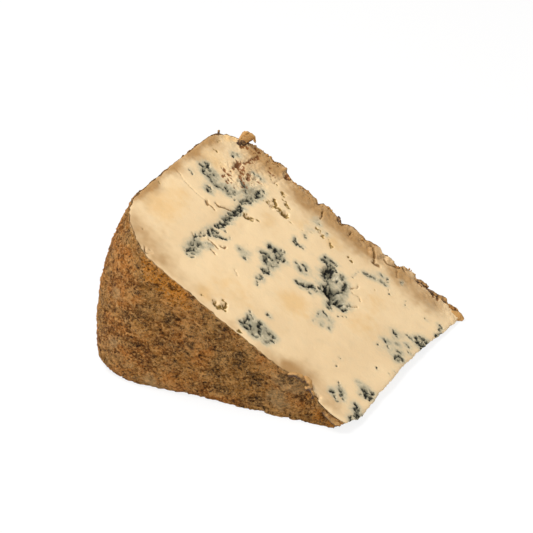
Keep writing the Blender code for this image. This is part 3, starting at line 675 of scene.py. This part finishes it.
def build_scrap(wheel, name, thickness, side, stations, tint, material):
    """A torn, curled scrap: a closed slab along its stations, with a ragged outline."""
    stations = np.array(stations, float)
    steps, across = 22, 9
    share = np.linspace(0, len(stations) - 1, steps)
    spine = np.stack([np.interp(share, np.arange(len(stations)), stations[:, k]) for k in range(4)], axis=-1)
    for _ in range(2):
        spine[1:-1] = 0.25 * spine[:-2] + 0.5 * spine[1:-1] + 0.25 * spine[2:]
    side = np.array(side) / np.linalg.norm(side)
    tangent = np.gradient(spine[:, :3], axis=0)
    normal = np.cross(tangent, side)
    normal /= np.maximum(np.linalg.norm(normal, axis=1, keepdims=True), 1.0e-6)
    places, sides = [], []
    for sign in (1.0, -1.0):
        for j in range(across):
            t = 2.0 * j / (across - 1) - 1.0
            flat = spine[:, :3] + side * (spine[:, 3] * t)[:, None]
            ragged = wander(flat, 0.9, len(name) + 13.0, 2)[:, None]
            cup = 0.35 * spine[:, 3] * t * t
            half = 0.5 * thickness * (1.0 - 0.75 * abs(t) ** 3)
            rise = sign * half + cup + 0.3 * wander(flat, 1.0, len(name) + 29.0, 3)
            places.append(flat + side * 0.35 * ragged * t + normal * rise[:, None])
            sides.append(np.full(steps, t))
    grid = np.array(places).reshape(2, across, steps, 3)
    loop = np.concatenate([grid[0], grid[1][::-1]])
    rings = loop.shape[0]
    number = np.arange(rings * steps).reshape(rings, steps)
    closed = np.concatenate([number, number[:1]])
    faces = grid_faces(closed)
    faces += [tuple(number[::-1, 0].tolist()), tuple(number[:, -1].tolist())]
    flat = loop.reshape(-1, 3)
    up = np.ones(len(flat))
    points = wheel.point(flat[:, 0], flat[:, 1], up, flat[:, 2])
    mesh_points = np.asarray(points)
    heights = flat[:, 2]
    to_side = np.abs(np.concatenate([np.array(sides)[:across], np.array(sides)[:across - 1 : -1]]).reshape(-1))
    # Painted shade: darker on a shaded piece and on its lower parts; also darker towards the edges and at random.
    dark = np.clip(tint + 0.35 * wander(flat, 1.2, 31.0, 3) - 0.12 * heights + 0.7 * smooth(0.7, 1.0, to_side), 0.0, 1.0)
    piece = make_object(name, mesh_points, faces, {"dark": dark}, material)
    outward(piece)
    return piece


def outward(piece):
    """Turns a closed piece's faces outwards."""
    import bmesh

    bm = bmesh.new()
    bm.from_mesh(piece.data)
    bmesh.ops.recalc_face_normals(bm, faces=bm.faces)
    bmesh.ops.triangulate(bm, faces=[f for f in bm.faces if len(f.verts) > 4])
    bm.to_mesh(piece.data)
    bm.free()


def build_crumbs(wheel, material):
    """Crumbs on the broken edge along the back, as one piece."""
    import bmesh

    pick = np.random.default_rng(7)
    ball = bmesh.new()
    bmesh.ops.create_icosphere(ball, subdivisions=3, radius=1.0)
    ball_points = np.array([v.co[:] for v in ball.verts])
    ball_faces = np.array([[v.index for v in f.verts] for f in ball.faces])
    ball.free()
    points, faces, dark = [], [], []
    count = 0
    for low, high, how_many, radius in RIM_CRUMBS:
        for _ in range(how_many):
            distance = pick.uniform(low, high)
            depth = np.interp(distance, *zip(*BACK_RIM)) - abs(pick.normal(0.0, 1.0)) - 0.3
            size = radius * pick.uniform(0.6, 1.4)
            stretch = pick.uniform(0.6, 1.2, 3)
            rough = 1.0 + 0.35 * wander(ball_points + count, 0.6, 3.0, 3)
            local = ball_points * stretch * size * rough[:, None]
            local += np.array([distance, depth, -0.1 * size])
            points.append(wheel.point(local[:, 0], local[:, 1], np.ones(len(local)), local[:, 2]))
            faces += (ball_faces + count).tolist()
            count += len(local)
            dark.append(np.full(len(local), pick.uniform(-0.5, 0.35)))
    return make_object("rim_crumbs", np.concatenate(points), faces, {"dark": np.concatenate(dark)}, material)


class Link:
    """A node's output that takes part in expressions. Each operation adds a Math node."""

    def __init__(self, nodes, socket):
        self.nodes = nodes
        self.socket = socket

    def math(self, operation, first, second):
        return self.nodes.add("ShaderNodeMath", {"operation": operation}, {0: first, 1: second})

    def __add__(self, other):
        return self.math("ADD", self, other)

    __radd__ = __add__

    def __mul__(self, other):
        return self.math("MULTIPLY", self, other)

    __rmul__ = __mul__

    def __sub__(self, other):
        return self.math("SUBTRACT", self, other)

    def __rsub__(self, other):
        return self.math("SUBTRACT", other, self)

    def least(self, other):
        return self.math("MINIMUM", self, other)

    def most(self, other):
        return self.math("MAXIMUM", self, other)


class Nodes:
    """The nodes of one material."""

    def __init__(self, name):
        self.material = bpy.data.materials.new(name)
        self.material.use_nodes = True
        self.tree = self.material.node_tree
        self.tree.nodes.clear()
        self.place = self.add("ShaderNodeTexCoord", {}, {}, "Object")

    def add(self, kind, settings, inputs, output=0):
        """Adds a node, with its settings set first, and returns one of its outputs."""
        node = self.tree.nodes.new(kind)
        for setting, value in settings.items():
            if setting == "stops":
                set_stops(node.color_ramp, value)
            else:
                setattr(node, setting, value)
        for key, value in inputs.items():
            if isinstance(value, Link):
                self.tree.links.new(value.socket, node.inputs[key])
            else:
                node.inputs[key].default_value = value
        return Link(self, node.outputs[output]) if output is not None else node

    def layer(self, name):
        return self.add("ShaderNodeAttribute", {"attribute_name": name}, {}, "Fac")

    def noise(self, size, detail=3.0, roughness=0.55, place=None, twist=0.0):
        """Noise from 0 to 1 whose bumps are as wide as size, in millimetres. Twist makes it fibrous."""
        inputs = {
            "Vector": place or self.place, "Scale": 1.0 / (size * MM), "Detail": detail, "Roughness": roughness,
            "Distortion": twist,
        }
        return self.add("ShaderNodeTexNoise", {}, inputs, "Fac")

    def ramp(self, value, low, high):
        """0 below low, 1 above high, and a smooth rise between them."""
        settings = {"interpolation_type": "SMOOTHSTEP"}
        inputs = {"Value": value, "From Min": low, "From Max": high, "To Min": 0.0, "To Max": 1.0}
        return self.add("ShaderNodeMapRange", settings, inputs, "Result")

    def mix(self, share, first, second):
        """A colour between two others."""
        inputs = {0: share, 6: tint(first), 7: tint(second)}
        return self.add("ShaderNodeMix", {"data_type": "RGBA", "clamp_factor": True}, inputs, 2)

    def bump(self, height, distance, strength=1.0):
        return self.add("ShaderNodeBump", {}, {"Height": height, "Distance": distance, "Strength": strength}, "Normal")

    def surface(self, sockets):
        """Ends the material with a Principled shader."""
        shader = self.add("ShaderNodeBsdfPrincipled", {}, sockets)
        self.add("ShaderNodeOutputMaterial", {}, {"Surface": shader}, None)
        return self.material


def set_stops(ramp, stops):
    """Gives a colour ramp its stops: (position, colour)."""
    while len(ramp.elements) < len(stops):
        ramp.elements.new(0.5)
    for element, (position, value) in zip(ramp.elements, stops):
        element.position = position
        element.color = tint(value)


def tint(value):
    """A colour for a socket: a link as it is, or three numbers with an alpha of 1."""
    return value if isinstance(value, Link) else (*value[:3], 1.0)


def paste_material(colours):
    """The paste, its mould and its moist hollows."""
    n = Nodes("cheese_paste")
    fine = n.noise(0.55, 3.0)
    speck = n.noise(0.95, 4.0, 0.6)
    cloud = n.noise(9.0, 3.0)
    broad = n.noise(24.0, 2.0)
    mould = n.layer("mould")
    wobble = fine - 0.5
    warm = n.ramp(n.layer("warm") + (cloud - 0.5) * 1.1, 0.1, 1.1)
    base = n.mix(warm * 0.85, colours.paste, colours.paste_warm)
    base = n.mix(n.ramp(n.layer("tan") + (cloud - 0.5) * 0.6, 0.02, 1.05) * 0.95, base, colours.paste_tan)
    base = n.mix(n.ramp(broad, 0.45, 0.7) * 0.14, base, colours.paste_tan)
    base = n.mix(n.ramp(n.noise(3.5, 4.0, 0.6), 0.5, 0.7) * 0.10, base, colours.veil)
    veil = n.ramp(n.layer("veil") + (speck - 0.5) * 0.6, 0.05, 0.85)
    base = n.mix(veil * 0.9, base, colours.veil)
    base = n.mix(n.ramp(n.layer("veil") + (speck - 0.5) * 1.8, 0.6, 1.4) * 0.6, base, colours.mould_blue)
    base = n.mix(n.ramp(n.layer("crumbly") + (speck - 0.5) * 1.4, 0.3, 1.6) * 0.2, base, colours.paste_tan)
    olive = n.layer("olive")
    base = n.mix(n.ramp(olive + wobble * 0.5, 0.15, 0.7), base, colours.olive)
    base = n.mix(n.ramp(olive + (speck - 0.5) * 1.6, 0.6, 1.1) * 0.8, base, colours.olive_deep)
    base = n.mix(n.ramp(n.layer("stain") + wobble * 0.7, 0.2, 0.9) * 0.9, base, colours.stain)
    # Cracks painted brown, partly their own colour and partly painted shade in their gaps.
    base = n.mix(n.ramp(n.layer("crack") + wobble * 0.5, 0.2, 0.7) * 0.85, base, colours.crack)
    base = n.mix(n.ramp(mould + wobble * 0.9, 0.12, 0.6) * 0.92, base, colours.mould_blue)
    base = n.mix(n.ramp(mould + (speck - 0.5) * 1.8, 0.68, 1.02), base, colours.mould_dark)
    pale = n.mix(0.5, colours.paste, (1.0, 1.0, 1.0))
    base = n.mix(n.ramp(fine, 0.6, 0.8) * 0.12, base, pale)
    height = fine * 0.5 + speck * 0.8 + n.noise(4.0, 2.0) * 0.8
    normal = n.bump(height, 0.00012, 0.6)
    gloss = 0.36 + n.noise(6.0, 3.0) * 0.24 + n.ramp(mould, 0.2, 0.8) * 0.2
    return n.surface({
        "Base Color": base, "Roughness": gloss, "Normal": normal, "Subsurface Weight": 0.08,
        "Subsurface Radius": (1.0, 0.8, 0.6), "Subsurface Scale": 0.0012, "Specular IOR Level": 0.26,
    })


def rind_material(colours):
    """The rind: brown and grainy, with painted highlights on its raised grain, painted shade in its pits, dark spots
    and powdery places.
    """
    n = Nodes("cheese_rind")
    stretch = n.add("ShaderNodeVectorMath", {"operation": "MULTIPLY"}, {0: n.place, 1: (1.0, 1.0, 1.5)})
    fibre = n.noise(2.5, 6.0, 0.75, stretch, 0.5)
    squeeze = n.add("ShaderNodeVectorMath", {"operation": "MULTIPLY"}, {0: n.place, 1: (1.0, 1.0, 1.25)})
    fine = n.noise(0.9, 4.0, 0.8, squeeze)
    mottle = n.noise(7.0, 4.0, 0.6, stretch, 0.4)
    cloud = n.noise(16.0, 3.0)
    base = n.mix(n.ramp(cloud, 0.42, 0.58) * 0.8, colours.rind, colours.rind_olive)
    shade = n.ramp(n.noise(9.0, 3.0, 0.6, stretch), 0.45, 0.62)
    base = n.mix(shade * 0.45, base, colours.rind_dark_and_shade)
    base = n.mix(n.ramp(mottle, 0.5, 0.62) * 0.45, base, colours.rind_pale_and_highlight)
    base = n.mix(n.ramp(n.layer("orange") + (mottle - 0.5) * 1.0, 0.35, 1.0) * 0.9, base, colours.rind_orange)
    powder = n.ramp(n.layer("pale") + (fibre - 0.5) * 1.8, 0.3, 1.1)
    base = n.mix(powder * 0.75, base, colours.rind_powder)
    bare = 1.0 - powder * 0.65
    # Painted highlights on the raised fibres, and painted shade in the hollows between them.
    base = n.mix(n.ramp(fibre, 0.53, 0.61) * 0.5, base, colours.rind_pale_and_highlight)
    base = n.mix(n.ramp(1.0 - fibre, 0.54, 0.6) * 0.75 * bare, base, colours.rind_dark_and_shade)
    # Dark spots, which reach further into the fine grain's hollows as painted shade.
    base = n.mix(n.ramp(n.layer("dark") + (0.5 - fine) * 2.5, 0.4, 1.2) * 0.7, base, colours.rind_dark_and_shade)
    turning = n.noise(4.5, 3.0, 0.6, stretch, 2.5)
    wisps = (1.0 - n.ramp(turning.most(1.0 - turning), 0.505, 0.53)) * n.ramp(cloud + mottle, 0.85, 1.1)
    base = n.mix(wisps * 0.6, base, colours.rind_powder)
    base = n.mix(n.ramp(n.layer("scratch") + (fine - 0.5) * 0.8, 0.3, 0.8) * 0.8, base, colours.rind_pale_and_highlight)
    # Painted highlights on the raised fine grain, and painted shade in its pits.
    base = n.mix(n.ramp(fine, 0.53, 0.61) * 0.75, base, colours.rind_pale_and_highlight)
    base = n.mix(n.ramp(1.0 - fine, 0.535, 0.61) * (0.7 + shade * 0.3) * bare, base, colours.rind_dark_and_shade)
    height = fibre * 1.6 + mottle * 1.0 + fine * 1.1 + wisps * 0.15
    gloss = 0.55 + mottle * 0.3
    return n.surface({
        "Base Color": base, "Roughness": gloss, "Normal": n.bump(height, 0.0012, 1.0), "Specular IOR Level": 0.16,
        "Subsurface Weight": 0.04, "Subsurface Radius": (1.0, 0.6, 0.35), "Subsurface Scale": 0.001,
    })


def scrap_material(colours):
    """Torn scraps and crumbs, golden, darkened by their dark layer: painted shade on the scraps, and darker crumbs at
    random.
    """
    n = Nodes("cheese_scrap")
    grain = n.noise(0.5, 4.0, 0.65)
    mottle = n.noise(1.6, 3.0)
    dark = n.layer("dark")
    base = n.mix(n.ramp(mottle, 0.4, 0.65) * 0.5, colours.scrap, colours.paste_tan)
    base = n.mix(n.ramp(dark + (grain - 0.5) * 1.2 + (mottle - 0.5) * 0.8, 0.15, 0.9), base, colours.scrap_dark_and_shade)
    height = grain + mottle * 0.8
    return n.surface({
        "Base Color": base, "Roughness": 0.55 + mottle * 0.2, "Normal": n.bump(height, 0.0003, 0.7),
        "Subsurface Weight": 0.1, "Subsurface Radius": (1.0, 0.6, 0.35), "Subsurface Scale": 0.001,
    })


def floor_material(colours):
    """A white floor that keeps the wedge's shadow."""
    n = Nodes("studio_floor")
    path = n.add("ShaderNodeLightPath", {}, {}, "Is Camera Ray")
    glossy = n.add("ShaderNodeLightPath", {}, {}, "Is Glossy Ray")
    plain = n.add("ShaderNodeBsdfDiffuse", {}, {"Color": tint(colours.floor)})
    white = n.add("ShaderNodeEmission", {}, {"Color": (1.0, 1.0, 1.0, 1.0), "Strength": 1.0})
    both = n.add("ShaderNodeMixShader", {}, {0: path.most(glossy) * 0.84, 1: plain, 2: white})
    n.add("ShaderNodeOutputMaterial", {}, {"Surface": both}, None)
    return n.material


def light_panel(name, place, target, size, power):
    """A soft white lamp that faces a place."""
    lamp = bpy.data.lights.new(name, "AREA")
    lamp.shape = "RECTANGLE"
    lamp.size, lamp.size_y = size
    lamp.energy = power
    lamp.color = (1.0, 1.0, 1.0)
    holder = bpy.data.objects.new(name, lamp)
    holder.location = place
    holder.rotation_euler = (Vector(target) - Vector(place)).to_track_quat("-Z", "Y").to_euler()
    bpy.context.scene.collection.objects.link(holder)


def make_world():
    """Plain white surroundings that also light the wedge softly."""
    world = bpy.data.worlds.new("studio_world")
    bpy.context.scene.world = world
    world.use_nodes = True
    tree = world.node_tree
    tree.nodes.clear()
    path = tree.nodes.new("ShaderNodeLightPath")
    soft = tree.nodes.new("ShaderNodeBackground")
    soft.inputs["Strength"].default_value = WORLD_STRENGTH
    white = tree.nodes.new("ShaderNodeBackground")
    white.inputs["Color"].default_value = (1.0, 1.0, 1.0, 1.0)
    soft.inputs["Color"].default_value = (1.0, 1.0, 1.0, 1.0)
    mix = tree.nodes.new("ShaderNodeMixShader")
    out = tree.nodes.new("ShaderNodeOutputWorld")
    tree.links.new(path.outputs["Is Camera Ray"], mix.inputs[0])
    tree.links.new(soft.outputs[0], mix.inputs[1])
    tree.links.new(white.outputs[0], mix.inputs[2])
    tree.links.new(mix.outputs[0], out.inputs["Surface"])


WORLD_STRENGTH = 0.40
CAMERA_PLACE = (0.2437, -0.5325, 0.2886)
CAMERA_BACK = (0.38101, -0.82954, 0.40828)
CAMERA_LENS = 136.7


class CHEESE_OT_paste(bpy.types.Operator):
    """Builds the paste with its veins and hollows."""

    bl_idname = "cheese.paste"
    bl_label = "Paste"

    def execute(self, context):
        scene = context.scene
        paste = build_paste(scene.wedge_sizes, paste_material(scene.cheese_colours))
        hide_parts("cheese_wedge")
        return {"FINISHED"}


class CHEESE_OT_rind(bpy.types.Operator):
    """Builds the rind round the wheel's front, side and back."""

    bl_idname = "cheese.rind"
    bl_label = "Rind"

    def execute(self, context):
        scene = context.scene
        build_rind(scene.wedge_sizes, rind_material(scene.cheese_colours))
        return {"FINISHED"}


class CHEESE_OT_scraps(bpy.types.Operator):
    """Builds the torn scraps of rind and the crumbs on the broken edges."""

    bl_idname = "cheese.scraps"
    bl_label = "Scraps and crumbs"

    def execute(self, context):
        scene = context.scene
        wheel = Wheel(scene.wedge_sizes)
        material = scrap_material(scene.cheese_colours)
        for name, thickness, side, stations, tone_and_shade in SCRAPS:
            build_scrap(wheel, name, thickness, side, stations, tone_and_shade, material)
        build_crumbs(wheel, material)
        return {"FINISHED"}


class CHEESE_OT_stage(bpy.types.Operator):
    """Builds the floor, the lamps, the surroundings and the camera."""

    bl_idname = "cheese.stage"
    bl_label = "Stage"

    def execute(self, context):
        scene = context.scene
        mesh = bpy.data.meshes.new("studio_floor")
        reach = 3.0
        corners = [(-reach, -reach, 0.0), (reach, -reach, 0.0), (reach, reach, 0.0), (-reach, reach, 0.0)]
        mesh.from_pydata(corners, [], [(0, 1, 2, 3)])
        mesh.materials.append(floor_material(scene.cheese_colours))
        floor = bpy.data.objects.new("studio_floor", mesh)
        floor.location.z = -0.0001
        scene.collection.objects.link(floor)
        light_panel("key_lamp", (-0.42, -0.08, 0.85), (0.0, 0.0, 0.02), (0.4, 0.4), 8.2)
        light_panel("fill_lamp", (0.3, -0.9, 0.6), (0.0, 0.0, 0.02), (0.9, 0.7), 4.0)
        make_world()
        scene.view_settings.view_transform = "Standard"
        camera = bpy.data.cameras.new("camera")
        camera.lens = CAMERA_LENS
        camera.sensor_width = 36.0
        holder = bpy.data.objects.new("camera", camera)
        holder.location = CAMERA_PLACE
        holder.rotation_mode = "QUATERNION"
        holder.rotation_quaternion = (-Vector(CAMERA_BACK)).to_track_quat("-Z", "Y")
        camera.clip_start = 0.01
        camera.clip_end = 20.0
        scene.collection.objects.link(holder)
        scene.camera = holder
        return {"FINISHED"}


class CHEESE_PT_panel(bpy.types.Panel):
    """Lists the wedge's pieces, sizes and colours."""

    bl_idname = "CHEESE_PT_panel"
    bl_label = "Blue cheese wedge"
    bl_space_type = "VIEW_3D"
    bl_region_type = "UI"
    bl_category = "Cheese"

    def draw(self, context):
        for operator in OPERATORS:
            self.layout.operator(operator.bl_idname)
        for group in (context.scene.wedge_sizes, context.scene.cheese_colours):
            box = self.layout.box()
            for name in group.bl_rna.properties.keys():
                if name not in {"rna_type", "name"}:
                    box.prop(group, name)


OPERATORS = (CHEESE_OT_paste, CHEESE_OT_rind, CHEESE_OT_scraps, CHEESE_OT_stage)
CLASSES = (WedgeSizes, CheeseColours, *OPERATORS, CHEESE_PT_panel)


def register():
    for cls in CLASSES:
        bpy.utils.register_class(cls)
    bpy.types.Scene.wedge_sizes = PointerProperty(type=WedgeSizes)
    bpy.types.Scene.cheese_colours = PointerProperty(type=CheeseColours)


def unregister():
    del bpy.types.Scene.cheese_colours
    del bpy.types.Scene.wedge_sizes
    for cls in reversed(CLASSES):
        bpy.utils.unregister_class(cls)


def main():
    register()
    bpy.ops.cheese.paste()
    bpy.ops.cheese.rind()
    bpy.ops.cheese.scraps()
    bpy.ops.cheese.stage()


if __name__ == "__main__":
    main()
